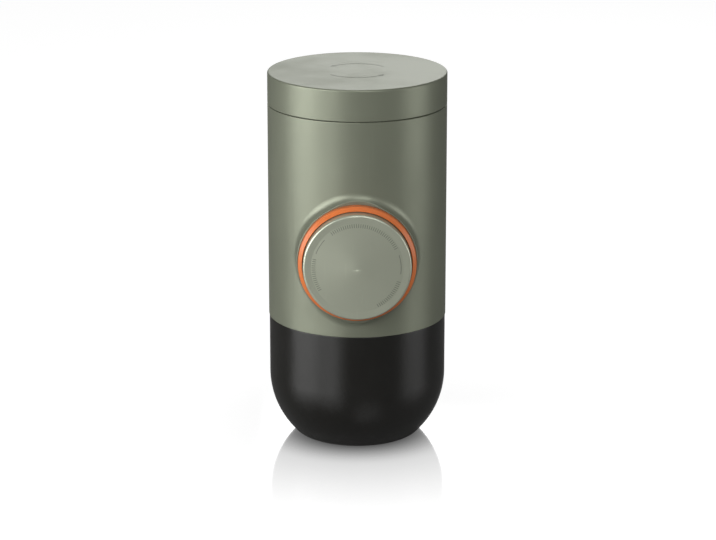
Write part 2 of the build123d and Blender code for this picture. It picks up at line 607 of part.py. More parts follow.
def make_pump_end_cap():
    plug = rod(PLUG_R, BODY_REAR, CHAMBER_REAR)
    groove = ring(BORE_R + CUT, PLUG_GROOVE_R, BODY_REAR + LOCK_GAP, CHAMBER_REAR - LOCK_GAP)
    flange = rod(REAR_BOSS_R, BODY_REAR - END_FLANGE_T, BODY_REAR)
    hole = rod(END_SCREW_R + TURN_FIT, BODY_REAR - END_FLANGE_T - CUT, BODY_REAR + CUT)
    holes = between(hole, END_SCREW_COUNT, END_SCREW_CIRCLE_R)
    return PUMP_AXIS * cut_all(plug - groove + flange, holes)


def make_end_cap_seal():
    play = LOCK_GAP + SEAT_FIT
    outer_r = BORE_R - SEAT_FIT / 2
    return PUMP_AXIS * ring(outer_r, PLUG_GROOVE_R + SEAT_FIT, BODY_REAR + play, CHAMBER_REAR - play)


def make_end_cap_screws():
    one = screw(END_SCREW_R, END_SCREW_HEAD_R, END_SCREW_HEAD_T, END_SCREW_LENGTH)
    screws = Compound(between(one, END_SCREW_COUNT, END_SCREW_CIRCLE_R))
    return PUMP_AXIS * Pos(0, 0, BODY_REAR - END_FLANGE_T) * screws


def make_flange_screws():
    one = screw(EAR_SCREW_R, EAR_SCREW_HEAD_R, EAR_SCREW_HEAD_T, EAR_SCREW_LENGTH)
    screws = Compound(between(one, EAR_COUNT, EAR_CIRCLE_R))
    return PUMP_AXIS * Pos(0, 0, FLANGE_REAR) * screws


def valve_insert(z0):
    """Pressed-in ring: the inlet's seat, and the plug under the outlet's spring."""
    return VALVE_AXIS * ring(POCKET_R - SEAT_FIT, PORT_R, z0, z0 + SEAT_T)


def valve_poppet(seat_z):
    """Disc that closes upward on its seat, with a stem that guides the spring."""
    disc = rod(POPPET_R, seat_z - POPPET_T, seat_z)
    return VALVE_AXIS * (disc + rod(POPPET_STEM_R, seat_z - POPPET_T - POPPET_STEM, seat_z))


def valve_spring(seat_z):
    foot_z = seat_z - POPPET_T - VALVE_SPRING_LENGTH
    spring = coil(VALVE_SPRING_R, VALVE_WIRE, VALVE_SPRING_LENGTH, VALVE_SPRING_TURNS, foot_z)
    return VALVE_AXIS * spring


# ---------------------------------------------------------------- tank and lid
def make_water_tank():
    """Open tank: wide under the barrel's rim, with a narrower threaded neck above it."""
    in_r = TANK_R - TANK_WALL
    tank = turned((0, TANK_BOTTOM_Z), (TANK_R, TANK_BOTTOM_Z), (TANK_R, SHOULDER_Z),
                  (NECK_R, SHOULDER_Z), (NECK_R, RIM_Z), (NECK_BORE_R, RIM_Z), (NECK_BORE_R, SHOULDER_Z),
                  (in_r, SHOULDER_Z - NECK_BORE_TAPER), (in_r, TANK_FLOOR_Z), (0, TANK_FLOOR_Z))
    tank = tank + VALVE_AXIS * rod(SPIGOT_R, TANK_BOTTOM_Z - SPIGOT_LENGTH, TANK_FLOOR_Z)
    tank = tank - VALVE_AXIS * rod(SPIGOT_BORE_R, 0, TANK_FLOOR_Z + CUT)
    root_r = NECK_R - RIB_SINK
    thread = ribs(root_r, NECK_R + RIB_DEPTH, NECK_RIB_Z, LID_LEAD, LID_STARTS, LID_RIB_SPAN)
    return add_all(tank, thread)


def make_neck_seal():
    return ring(TANK_R - TANK_FIT, NECK_R + NECK_CLEAR, SHOULDER_Z, SHOULDER_Z + NECK_SEAL_T)


def make_spigot_seal():
    seal_top = SPIGOT_SEAL_Z + SPIGOT_SEAL_H
    return VALVE_AXIS * ring(SPIGOT_SEAL_R, SPIGOT_R + SEAT_FIT, SPIGOT_SEAL_Z, seal_top)


def make_lid_cap():
    cap = rod(BODY_R, LID_Z, TOP_Z)
    top = cap.edges().group_by(Axis.Z)[-1]
    cap = fillet(top, LID_EDGE)
    bottom = cap.edges().group_by(Axis.Z)[0]
    cap = fillet(bottom, SEAM_EDGE)
    return cap - rod(BODY_R - LID_WALL, LID_Z - CUT, LINER_TOP_Z)


def make_lid_liner():
    """Inner lid: a plate with the threaded ring that turns on the tank's neck."""
    liner = rod(LINER_R, LINER_Z, LINER_TOP_Z) - rod(LINER_BORE_R, LINER_Z - CUT, LINER_PLATE_Z)
    vent = rod(VENT_HOLE_R, LINER_PLATE_Z - CUT, LINER_TOP_Z + CUT)
    liner = liner - rod(VENT_STEM_R + TURN_FIT, LINER_PLATE_Z - CUT, LINER_TOP_Z + CUT)
    liner = cut_all(liner, around(vent, VENT_HOLES, VENT_HOLE_CIRCLE_R))
    tip_r = LINER_BORE_R - RIB_DEPTH
    thread = ribs(tip_r, LINER_BORE_R + RIB_SINK, LINER_RIB_Z, LID_LEAD, LID_STARTS, LID_RIB_SPAN)
    return add_all(liner, thread)


def make_lid_gasket():
    return ring(LINER_BORE_R - COLLAR_FIT, NECK_BORE_R - LID_GASKET_OVERHANG, RIM_Z, LINER_PLATE_Z)


def make_lid_vent_valve():
    """Mushroom valve: its head covers the vent holes from below, its stem fills the middle hole."""
    head = rod(VENT_HEAD_R, LINER_PLATE_Z - VENT_HEAD_T, LINER_PLATE_Z)
    return head + rod(VENT_STEM_R, LINER_PLATE_Z - VENT_HEAD_T, LINER_TOP_Z - TURN_FIT)


# ---------------------------------------------------------------- brew head
def make_group_plate():
    """Top plate of the brew head, with the water way, the cup's skirt and the holder's thread."""
    plate = rod(PLATE_R, PLATE_Z, PLATE_TOP_Z) + ring(SKIRT_R, SKIRT_IN_R, SKIRT_Z, PLATE_Z)
    half = CUP_SEAL_H / 2 + TURN_FIT
    plate = plate - ring(SKIRT_R + CUT, CUP_SEAL_IN_R, CUP_SEAL_Z - half, CUP_SEAL_Z + half)
    plate = plate + rod(SCREEN_BOSS_R, PLATE_Z - PLENUM_H, PLATE_Z)
    plate = plate + ring(SCREEN_R, SCREEN_R - SCREEN_RIM_W, PLATE_Z - PLENUM_H, PLATE_Z)
    way_z = (PLATE_Z + PLATE_TOP_Z) / 2
    drop = rod(WATERWAY_R, way_z, PLATE_TOP_Z + CUT)
    way = Pos(0, 0, way_z) * Rotation(90, 0, 0) * rod(WATERWAY_R, 0, VALVE_OFFSET - WATERWAY_END)
    fall = Pos(0, WATERWAY_END, 0) * rod(WATERWAY_R, PLATE_Z - CUT, way_z)
    screen_hole = rod(SCREEN_SCREW_R, PLATE_Z - PLENUM_H - CUT, PLATE_TOP_Z - PLENUM_H)
    plate = plate - VALVE_AXIS * (drop + way) - fall - screen_hole
    hole = rod(GROUP_SCREW_R + TURN_FIT, PLATE_Z - CUT, PLATE_TOP_Z + CUT)
    hole = hole + rod(GROUP_SCREW_HEAD_R + TURN_FIT, PLATE_Z - CUT, GROUP_SCREW_SEAT_Z)
    plate = cut_all(plate, between(hole, GROUP_SCREW_COUNT, GROUP_SCREW_CIRCLE_R))
    tip_r = SKIRT_IN_R - RIB_DEPTH
    root_r = SKIRT_IN_R + RIB_SINK
    thread = ribs(tip_r, root_r, GROUP_RIB_Z, HOLDER_LEAD, HOLDER_STARTS, HOLDER_RIB_SPAN)
    return add_all(plate, thread)


def make_group_screws():
    length = GROUP_SCREW_TIP_Z - GROUP_SCREW_SEAT_Z
    one = screw(GROUP_SCREW_R, GROUP_SCREW_HEAD_R, GROUP_SCREW_HEAD_T, length)
    screws = Compound(between(one, GROUP_SCREW_COUNT, GROUP_SCREW_CIRCLE_R))
    return Pos(0, 0, GROUP_SCREW_SEAT_Z) * screws


def make_cup_seal():
    half = CUP_SEAL_H / 2
    outer_r = CUP_IN_R - CUP_SEAL_SQUEEZE
    return ring(outer_r, CUP_SEAL_IN_R + SEAT_FIT, CUP_SEAL_Z - half, CUP_SEAL_Z + half)


def make_outlet_seal():
    return VALVE_AXIS * ring(VALVE_BOSS_R - SEAT_FIT, PORT_R, PLATE_TOP_Z, OUTLET_BOTTOM_Z)


def make_group_gasket():
    return ring(BASKET_RIM_R, GROUP_GASKET_IN_R, BASKET_RIM_Z, PLATE_Z)


def make_shower_screen():
    top_z = SCREEN_Z + SCREEN_T
    plate = rod(SCREEN_R, SCREEN_Z, top_z)
    open_r = SCREEN_R - SCREEN_RIM_W
    plate = perforate(plate, SCREEN_HOLE_R, SCREEN_Z, top_z, SCREEN_HOLE_PITCH, open_r)
    return plate - rod(SCREEN_SCREW_R + TURN_FIT, SCREEN_Z - CUT, top_z + CUT)


def make_screen_screw():
    length = SCREEN_T + PLENUM_H + PLATE_T - 2 * PLENUM_H - LOCK_GAP
    one = screw(SCREEN_SCREW_R, SCREEN_SCREW_HEAD_R, SCREEN_SCREW_HEAD_T, length)
    return Pos(0, 0, SCREEN_Z) * one


def make_filter_basket():
    """Thin steel cup hung by its rim, with a perforated bottom."""
    in_r = BASKET_R - BASKET_WALL
    floor_z = BASKET_Z + BASKET_WALL
    basket = turned((0, BASKET_Z), (BASKET_R, BASKET_Z), (BASKET_R, HOLDER_SEAT_Z),
                    (BASKET_RIM_R, HOLDER_SEAT_Z), (BASKET_RIM_R, BASKET_RIM_Z),
                    (in_r, BASKET_RIM_Z), (in_r, floor_z), (0, floor_z))
    return perforate(basket, BASKET_HOLE_R, BASKET_Z, floor_z, BASKET_HOLE_PITCH, in_r)


def make_filter_holder():
    """Cup that carries the basket by its rim and gathers the coffee into the nozzle."""
    ledge_r = BASKET_R + HOLDER_FIT
    rim_r = BASKET_RIM_R + HOLDER_RIM_FIT
    top_z = HOLDER_SEAT_Z + HOLDER_RIM_H
    ledge_z = HOLDER_SEAT_Z - HOLDER_LEDGE_H
    holder = turned((0, HOLDER_Z), (HOLDER_BOTTOM_R, HOLDER_Z), (HOLDER_R, BASKET_Z), (HOLDER_R, top_z),
                    (rim_r, top_z), (rim_r, HOLDER_SEAT_Z), (ledge_r, HOLDER_SEAT_Z), (ledge_r, ledge_z),
                    (HOLDER_IN_R, ledge_z - HOLDER_LEDGE_H), (HOLDER_IN_R, BASKET_Z + HOLDER_FLOOR / 2),
                    (HOLDER_BOTTOM_R - HOLDER_FLOOR, FUNNEL_Z), (0, FUNNEL_Z))
    holder = holder - rod(NOZZLE_STEM_R + SEAT_FIT, HOLDER_Z - CUT, FUNNEL_Z + CUT)
    root_r = HOLDER_R - RIB_SINK
    thread = ribs(root_r, HOLDER_R + RIB_DEPTH, HOLDER_RIB_Z, HOLDER_LEAD, HOLDER_STARTS, HOLDER_RIB_SPAN)
    return add_all(holder, thread)


def make_spout_nozzle():
    body = rod(NOZZLE_R, NOZZLE_Z, HOLDER_Z)
    lip = body.edges().group_by(Axis.Z)[0]
    body = chamfer(lip, NOZZLE_LENGTH / 2, NOZZLE_R / 3)
    body = body + rod(NOZZLE_STEM_R, HOLDER_Z, FUNNEL_Z)
    return body - rod(NOZZLE_BORE_R, NOZZLE_Z - CUT, FUNNEL_Z + CUT)


NODES = {
    "cup_shell": make_cup_shell,
    "barrel_shell": make_barrel_shell,
    "knob_collar": make_knob_collar,
    "guide_sleeve": make_guide_sleeve,
    "knob_shell": make_knob_shell,
    "knob_hub": make_knob_hub,
    "hub_retainer": make_hub_retainer,
    "hub_screws": make_hub_screws,
    "piston_rod": make_piston_rod,
    "piston_head": make_piston_head,
    "piston_seal": make_piston_seal,
    "return_spring": make_return_spring,
    "pump_body": make_pump_body,
    "pump_end_cap": make_pump_end_cap,
    "end_cap_seal": make_end_cap_seal,
    "end_cap_screws": make_end_cap_screws,
    "flange_screws": make_flange_screws,
    "inlet_seat": lambda: valve_insert(INLET_SEAT_Z),
    "inlet_poppet": lambda: valve_poppet(INLET_SEAT_Z),
    "inlet_spring": lambda: valve_spring(INLET_SEAT_Z),
    "outlet_poppet": lambda: valve_poppet(OUTLET_SEAT_Z),
    "outlet_spring": lambda: valve_spring(OUTLET_SEAT_Z),
    "outlet_gland": lambda: valve_insert(OUTLET_GLAND_Z),
    "outlet_seal": make_outlet_seal,
    "water_tank": make_water_tank,
    "neck_seal": make_neck_seal,
    "spigot_seal": make_spigot_seal,
    "lid_cap": make_lid_cap,
    "lid_liner": make_lid_liner,
    "lid_gasket": make_lid_gasket,
    "lid_vent_valve": make_lid_vent_valve,
    "group_plate": make_group_plate,
    "group_screws": make_group_screws,
    "cup_seal": make_cup_seal,
    "group_gasket": make_group_gasket,
    "shower_screen": make_shower_screen,
    "screen_screw": make_screen_screw,
    "filter_basket": make_filter_basket,
    "filter_holder": make_filter_holder,
    "spout_nozzle": make_spout_nozzle,
}

os.makedirs("parts", exist_ok=True)
for name, make in NODES.items():
    export_step(make(), f"parts/{name}.step")
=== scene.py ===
"""Finishes, marks, light and camera for a handheld manual espresso maker.

Everything is in metres, +Z up, with the origin under the barrel's axis on the plane that the cup
stands on. The knob comes out towards -Y.
"""
import math

import bpy
import numpy as np
from bpy.props import FloatProperty, FloatVectorProperty, PointerProperty
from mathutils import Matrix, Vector


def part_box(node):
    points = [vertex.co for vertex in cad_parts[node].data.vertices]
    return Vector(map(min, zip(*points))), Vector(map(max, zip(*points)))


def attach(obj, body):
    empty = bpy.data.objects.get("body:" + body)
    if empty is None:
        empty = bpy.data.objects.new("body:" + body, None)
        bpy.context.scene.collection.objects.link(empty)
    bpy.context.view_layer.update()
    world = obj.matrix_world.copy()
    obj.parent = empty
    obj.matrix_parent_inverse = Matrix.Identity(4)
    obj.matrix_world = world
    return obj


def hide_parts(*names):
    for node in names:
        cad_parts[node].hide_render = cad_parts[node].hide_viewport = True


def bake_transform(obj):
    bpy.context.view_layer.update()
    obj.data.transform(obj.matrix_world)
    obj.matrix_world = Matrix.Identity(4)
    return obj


bl_info = {
    "name": "Hand espresso maker",
    "version": (1, 0, 0),
    "blender": (4, 5, 0),
    "location": "View3D > Sidebar > Espresso",
    "description": "Dresses a hand-pumped espresso maker: mouldings, knob, collar, cup and inner parts",
    "category": "Object",
}

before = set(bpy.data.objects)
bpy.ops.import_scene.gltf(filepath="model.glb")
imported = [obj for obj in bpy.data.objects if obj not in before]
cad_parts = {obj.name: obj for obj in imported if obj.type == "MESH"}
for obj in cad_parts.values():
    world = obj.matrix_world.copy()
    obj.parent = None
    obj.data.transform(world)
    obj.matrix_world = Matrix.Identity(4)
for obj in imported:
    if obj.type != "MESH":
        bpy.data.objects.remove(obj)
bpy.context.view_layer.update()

KNOB_LOW, KNOB_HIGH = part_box("knob_shell")
SLEEVE_LOW, SLEEVE_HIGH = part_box("guide_sleeve")
PUMP_Z = (SLEEVE_LOW.z + SLEEVE_HIGH.z) / 2
KNOB_RADIUS = min(KNOB_HIGH.z - PUMP_Z, PUMP_Z - KNOB_LOW.z)
KNOB_TIP = -KNOB_LOW.y
BODY_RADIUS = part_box("barrel_shell")[1].x
LID_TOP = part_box("lid_cap")[1].z

KNOB_CONE = 0.0020          # how far the knob's face rises to its middle
KNOB_BAND = 0.0028          # flat band around the knob's face
RETURN_WIRE, RETURN_TURNS = 0.0014, 8
VALVE_WIRE, VALVE_TURNS = 0.00035, 5

FINE_GRAIN = 0.7            # the knob's grain, as a share of the other mouldings'
KNOB_SHEEN = 1.25           # the knob's sheen, as a share of the barrel's
MARK_GRAIN = 0.0004

KNOB_TICKS = ((28, 128), (168, 212), (-62, -18))    # degrees round the knob's face, from and to
KNOB_ARCS = ((138, 160), (-8, 18))
LID_ARC_STARTS = (35, 215)  # degrees round the lid
LID_ARC_SPAN = 100
LID_ARC_SHARE = 0.36        # radius of the lid's arcs, as a share of the body's
ARROW_SIZE = 0.0022

LAMP_AIM = Vector((0.0, 0.0, 0.07))
LAMPS = (   # name, degrees round from the knob's side, degrees up, distance, size, power's setting
    ("Key softbox", -70, 10, 0.75, (0.54, 0.45), "key"),
    ("Side panel", -35, 16, 0.75, (0.34, 0.45), "side"),
    ("Front softbox", 15, 40, 0.85, (0.40, 0.40), "front"),
    ("Edge strip", 79, 10, 0.75, (0.46, 0.40), "edge"),
    ("Back light", 170, 25, 0.80, (0.40, 0.30), "back"),
)
PANEL_EDGE, PANEL_CORE = 0.34, 0.18                 # sideways part of a direction: band ends, band is full

FLOOR_HALF = 4.0
FLOOR_POINTS = 9
FLOOR_DROP = 0.00002        # keeps the floor and the cup's foot out of one plane
# Near the foot the floor's white glow gives way to mirror: the cup's real mirror image, and a painted shade
# round the foot where the mirror sees the dim room.
MIRROR_AND_SHADE_NEAR = (0.018, 0.040, 0.42)                  # radius from, radius to, share of mirror at the first
MIRROR_AND_SHADE_FADE = (0.020, 0.104, 1.0)
MIRROR_BEND = 1.4           # power that the fade is raised to
MIRROR_SHARE = 0.48


# ---------------------------------------------------------------- settings
def colour_setting(name, description, default):
    return FloatVectorProperty(name=name, description=description, subtype="COLOR", size=3,
                               min=0.0, max=1.0, default=default)


def length_setting(name, description, default):
    return FloatProperty(name=name, description=description, unit="LENGTH", min=0.0, default=default)


class FinishSettings(bpy.types.PropertyGroup):
    """Colours and textures of the mouldings."""
    sage: colour_setting("Sage", "Barrel and lid", (0.262, 0.281, 0.212))
    # The knob's colour is about twice the barrel's sage: partly the knob's own paler tone, partly a painted
    # highlight for the light on its face.
    face: colour_setting("Knob sage with painted highlight", "Knob, paler than the barrel", (0.560, 0.592, 0.470))
    black: colour_setting("Black", "Cup", (0.0045, 0.0041, 0.0026))
    orange: colour_setting("Orange", "Ring around the knob", (0.78, 0.200, 0.052))
    sheen: FloatProperty(name="Sheen", description="Share of the sage finish that is metallic flake",
                         min=0.0, max=1.0, default=0.48)
    inner: colour_setting("Inner black", "Pump, brew head and holder", (0.016, 0.016, 0.017))
    smoke: colour_setting("Smoke", "Clear grey water tank", (0.42, 0.45, 0.46))
    rubber: colour_setting("Rubber", "Seals and gaskets", (0.25, 0.25, 0.24))
    steel: colour_setting("Steel", "Screws, springs, screen and basket", (0.60, 0.59, 0.57))
    grain: length_setting("Grain", "Size of the mouldings' fine surface grain", 0.00035)


class MarkSettings(bpy.types.PropertyGroup):
    """Plain graduations and turning marks on the knob and the lid."""
    paint: colour_setting("Paint", "Marks on the sage mouldings", (0.245, 0.262, 0.205))
    circle: FloatProperty(name="Circle", description="Radius of the knob's marks, as a share of the knob",
                          min=0.2, max=0.95, default=0.78)
    tick: length_setting("Tick", "Length of a graduation", 0.0013)
    stroke: length_setting("Stroke", "Width of a mark's line", 0.00022)
    lift: length_setting("Lift", "Height of the flat print above the surface", 0.00003)


class StageSettings(bpy.types.PropertyGroup):
    """Floor, lamps and camera."""
    distance: length_setting("Distance", "Camera to the object's axis", 0.970)
    height: length_setting("Height", "Camera above the floor", 0.3437)
    pitch: FloatProperty(name="Pitch", description="How far the camera looks down", subtype="ANGLE",
                         default=math.radians(16.34))
    lens: FloatProperty(name="Lens", description="Focal length in millimetres", default=142.65)
    key: FloatProperty(name="Key", description="Power of the left softbox", default=3.36)
    side: FloatProperty(name="Side", description="Power of the panel between key and front", default=1.80)
    front: FloatProperty(name="Front", description="Power of the high front softbox", default=1.72)
    edge: FloatProperty(name="Edge", description="Power of the right strip", default=1.22)
    back: FloatProperty(name="Back", description="Power of the lamp behind", default=0.38)
    room: FloatProperty(name="Room", description="Brightness of the room's light", default=0.10)


# ---------------------------------------------------------------- shared surface effects
def group_socket(tree, name, kind, default=None, out=False):
    socket = tree.interface.new_socket(name=name, in_out="OUTPUT" if out else "INPUT", socket_type=kind)
    if default is not None:
        socket.default_value = default


def add_node(tree, kind, place=(0, 0), **values):
    node = tree.nodes.new(kind)
    node.location = place
    for name, value in values.items():
        setattr(node, name, value)
    return node


def grain_group():
    """Fine moulded grain: two noises of different size give a height, and a slow one gives a mottle."""
    name = "Moulded grain"
    if name in bpy.data.node_groups:
        return bpy.data.node_groups[name]
    tree = bpy.data.node_groups.new(name, "ShaderNodeTree")
    group_socket(tree, "Vector", "NodeSocketVector")
    group_socket(tree, "Size", "NodeSocketFloat", 0.00035)
    group_socket(tree, "Height", "NodeSocketFloat", out=True)
    group_socket(tree, "Mottle", "NodeSocketFloat", out=True)
    start = add_node(tree, "NodeGroupInput", (-700, 0))
    end = add_node(tree, "NodeGroupOutput", (500, 0))
    scale = add_node(tree, "ShaderNodeMath", (-500, -120), operation="DIVIDE")
    scale.inputs[0].default_value = 1.0
    fine = add_node(tree, "ShaderNodeTexNoise", (-300, 150), noise_dimensions="3D")
    fine.inputs["Detail"].default_value = 3.0
    fine.inputs["Roughness"].default_value = 0.65
    cells = add_node(tree, "ShaderNodeTexVoronoi", (-300, -150), feature="SMOOTH_F1")
    slow = add_node(tree, "ShaderNodeTexNoise", (-300, -450), noise_dimensions="3D")
    slow.inputs["Scale"].default_value = 60.0
    slow.inputs["Detail"].default_value = 4.0
    blend = add_node(tree, "ShaderNodeMath", (0, 0), operation="MULTIPLY_ADD")
    blend.inputs[1].default_value = 0.5
    links = tree.links
    links.new(start.outputs["Size"], scale.inputs[1])
    for texture in (fine, cells):
        links.new(start.outputs["Vector"], texture.inputs["Vector"])
        links.new(scale.outputs[0], texture.inputs["Scale"])
    links.new(start.outputs["Vector"], slow.inputs["Vector"])
    links.new(cells.outputs["Distance"], blend.inputs[0])
    links.new(fine.outputs["Fac"], blend.inputs[2])
    links.new(blend.outputs[0], end.inputs["Height"])
    links.new(slow.outputs["Fac"], end.inputs["Mottle"])
    return tree


def wear_group():
    """Handling wear: stretched noise cut high gives sparse hair scratches, and a soft one gives smudges."""
    name = "Handling wear"
    if name in bpy.data.node_groups:
        return bpy.data.node_groups[name]
    tree = bpy.data.node_groups.new(name, "ShaderNodeTree")
    group_socket(tree, "Vector", "NodeSocketVector")
    group_socket(tree, "Scratches", "NodeSocketFloat", out=True)
    group_socket(tree, "Smudges", "NodeSocketFloat", out=True)
    start = add_node(tree, "NodeGroupInput", (-800, 0))
    end = add_node(tree, "NodeGroupOutput", (500, 0))
    turn = add_node(tree, "ShaderNodeMapping", (-600, 100))
    turn.inputs["Rotation"].default_value = (0.5, 0.35, 0.6)
    turn.inputs["Scale"].default_value = (900.0, 900.0, 28.0)
    hair = add_node(tree, "ShaderNodeTexNoise", (-400, 100))
    hair.inputs["Scale"].default_value = 1.0
    hair.inputs["Detail"].default_value = 1.0
    cut = add_node(tree, "ShaderNodeMapRange", (-150, 100), interpolation_type="SMOOTHSTEP")
    cut.inputs["From Min"].default_value = 0.70
    cut.inputs["From Max"].default_value = 0.78
    soft = add_node(tree, "ShaderNodeTexNoise", (-400, -200))
    soft.inputs["Scale"].default_value = 35.0
    soft.inputs["Detail"].default_value = 5.0
    soft.inputs["Roughness"].default_value = 0.6
    smear = add_node(tree, "ShaderNodeMapRange", (-150, -200), interpolation_type="SMOOTHSTEP")
    smear.inputs["From Min"].default_value = 0.42
    smear.inputs["From Max"].default_value = 0.72
    links = tree.links
    links.new(start.outputs["Vector"], turn.inputs["Vector"])
    links.new(turn.outputs["Vector"], hair.inputs["Vector"])
    links.new(hair.outputs["Fac"], cut.inputs["Value"])
    links.new(start.outputs["Vector"], soft.inputs["Vector"])
    links.new(soft.outputs["Fac"], smear.inputs["Value"])
    links.new(cut.outputs["Result"], end.inputs["Scratches"])
    links.new(smear.outputs["Result"], end.inputs["Smudges"])
    return tree


def new_finish(name):
    """Empty material with its shader, output, Object coordinates and the two shared groups."""
    material = bpy.data.materials.new(name)
    material.use_nodes = True
    tree = material.node_tree
    tree.nodes.clear()
    out = add_node(tree, "ShaderNodeOutputMaterial", (600, 0))
    shader = add_node(tree, "ShaderNodeBsdfPrincipled", (250, 0))
    where = add_node(tree, "ShaderNodeTexCoord", (-1100, 0))
    grain = add_node(tree, "ShaderNodeGroup", (-850, 150), node_tree=grain_group())
    wear = add_node(tree, "ShaderNodeGroup", (-850, -200), node_tree=wear_group())
    tree.links.new(where.outputs["Object"], grain.inputs["Vector"])
    tree.links.new(where.outputs["Object"], wear.inputs["Vector"])
    tree.links.new(shader.outputs["BSDF"], out.inputs["Surface"])
    return material, tree, shader, where, grain, wear


def tone(tree, factor, first, second):
    """Colour that runs from first to second with factor, an output socket."""
    mix = add_node(tree, "ShaderNodeMix", (-300, 200), data_type="RGBA")
    mix.inputs["A"].default_value = (*first, 1.0)
    mix.inputs["B"].default_value = (*second, 1.0)
    tree.links.new(factor, mix.inputs["Factor"])
    return mix.outputs["Result"]


def shade(colour, factor):
    return tuple(min(1.0, c * factor) for c in colour)


def spread(tree, factor, low, high, place=(-300, -50)):
    """Value that runs from low to high with factor, an output socket."""
    node = add_node(tree, "ShaderNodeMapRange", place)
    node.inputs["To Min"].default_value = low
    node.inputs["To Max"].default_value = high
    tree.links.new(factor, node.inputs["Value"])
    return node.outputs["Result"]


def moulded(name, colour, size, depth, rough, level=0.5, metal=0.0):
    """Satin moulded plastic: mottled colour, grain in the normal, smudged roughness, hair scratches."""
    material, tree, shader, _, grain, wear = new_finish(name)
    grain.inputs["Size"].default_value = size
    base = tone(tree, grain.outputs["Mottle"], shade(colour, 0.95), shade(colour, 1.05))
    worn = add_node(tree, "ShaderNodeMix", (-50, 250), data_type="RGBA")
    worn.inputs["B"].default_value = (*shade(colour, 1.15), 1.0)
    tree.links.new(base, worn.inputs["A"])
    scratched = spread(tree, wear.outputs["Scratches"], 0.0, 0.2, (-300, 20))
    tree.links.new(scratched, worn.inputs["Factor"])
    tree.links.new(worn.outputs["Result"], shader.inputs["Base Color"])
    smudged = spread(tree, wear.outputs["Smudges"], *rough, place=(-300, -160))
    tree.links.new(smudged, shader.inputs["Roughness"])
    bump = add_node(tree, "ShaderNodeBump", (0, -300))
    bump.inputs["Strength"].default_value = 0.35
    bump.inputs["Distance"].default_value = depth
    tree.links.new(grain.outputs["Height"], bump.inputs["Height"])
    tree.links.new(bump.outputs["Normal"], shader.inputs["Normal"])
    shader.inputs["Specular IOR Level"].default_value = level
    shader.inputs["Metallic"].default_value = metal
    return material


def brushed_steel(name, colour, rough=(0.22, 0.38)):
    """Turned or drawn steel: fine lines stretched round the part, with smudged roughness."""
    material, tree, shader, where, _, wear = new_finish(name)
    stretch = add_node(tree, "ShaderNodeMapping", (-1000, 350))
    stretch.inputs["Scale"].default_value = (260.0, 260.0, 6000.0)
    lines = add_node(tree, "ShaderNodeTexNoise", (-800, 400))
    lines.inputs["Scale"].default_value = 1.0
    lines.inputs["Detail"].default_value = 2.0
    tree.links.new(where.outputs["Object"], stretch.inputs["Vector"])
    tree.links.new(stretch.outputs["Vector"], lines.inputs["Vector"])
    base = tone(tree, lines.outputs["Fac"], shade(colour, 0.88), shade(colour, 1.08))
    tree.links.new(base, shader.inputs["Base Color"])
    tree.links.new(spread(tree, wear.outputs["Smudges"], *rough), shader.inputs["Roughness"])
    bump = add_node(tree, "ShaderNodeBump", (0, -300))
    bump.inputs["Strength"].default_value = 0.15
    bump.inputs["Distance"].default_value = 0.00002
    tree.links.new(lines.outputs["Fac"], bump.inputs["Height"])
    tree.links.new(bump.outputs["Normal"], shader.inputs["Normal"])
    shader.inputs["Metallic"].default_value = 1.0
    return material


def smoked_clear(name, colour):
    """Clear grey plastic of the tank: transmission, with a faint grain in its normal and smudges in its
    gloss.
    """
    material, tree, shader, _, grain, wear = new_finish(name)
    tree.links.new(tone(tree, grain.outputs["Mottle"], shade(colour, 0.97), shade(colour, 1.03)),
                   shader.inputs["Base Color"])
    tree.links.new(spread(tree, wear.outputs["Smudges"], 0.05, 0.16), shader.inputs["Roughness"])
    bump = add_node(tree, "ShaderNodeBump", (0, -300))
    bump.inputs["Strength"].default_value = 0.1
    bump.inputs["Distance"].default_value = 0.00002
    tree.links.new(grain.outputs["Height"], bump.inputs["Height"])
    tree.links.new(bump.outputs["Normal"], shader.inputs["Normal"])
    shader.inputs["Transmission Weight"].default_value = 0.85
    shader.inputs["IOR"].default_value = 1.52
    return material


def finish_nodes(material, *names):
    for name in names:
        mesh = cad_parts[name].data
        mesh.materials.clear()
        mesh.materials.append(material)


# ---------------------------------------------------------------- computed surfaces
def surface(name, points, faces, material, smooth=True):
    """Mesh object from computed arrays."""
    mesh = bpy.data.meshes.new(name)
    mesh.from_pydata(points.reshape(-1, 3), [], faces)
    mesh.polygons.foreach_set("use_smooth", np.full(len(mesh.polygons), smooth))
    mesh.materials.append(material)
    mesh.update()
    piece = bpy.data.objects.new(name, mesh)
    bpy.context.scene.collection.objects.link(piece)
    return piece


def grid_faces(rows, columns):
    """Quads of a grid of rows by columns points, open on all four sides."""
    index = np.arange(rows * columns).reshape(rows, columns)
    quads = np.stack([index[:-1, :-1], index[1:, :-1], index[1:, 1:], index[:-1, 1:]], axis=-1)
    return quads.reshape(-1, 4)


def printed_arc(radius, width, start, end, steps=64):
    """Open flat band between radius - width/2 and radius + width/2 whose angle runs from start to end.

    Returns local x, local y and its quads: x is the radius times the angle's cosine and y the
    radius times its sine, at both edges of the band.
    """
    angle = np.linspace(start, end, steps)
    edge = np.array([radius - width / 2, radius + width / 2])[:, None]
    return edge * np.cos(angle), edge * np.sin(angle), grid_faces(2, steps)


def ticks(radius, length, width, start, end, gap=0.00075):
    """Row of short radial bars on a circle, one every gap from the angle start to end.

    Each bar has four corners: radius -+ length/2 along its own angle, and -+ width/2 across it.
    """
    angle = np.arange(start, end, gap / radius)[:, None]
    along = radius + np.array([-1.0, 1.0, 1.0, -1.0]) * length / 2
    across = np.array([-1.0, -1.0, 1.0, 1.0]) * width / 2
    x = along * np.cos(angle) - across * np.sin(angle)
    y = along * np.sin(angle) + across * np.cos(angle)
    return x, y, np.arange(x.size).reshape(-1, 4)


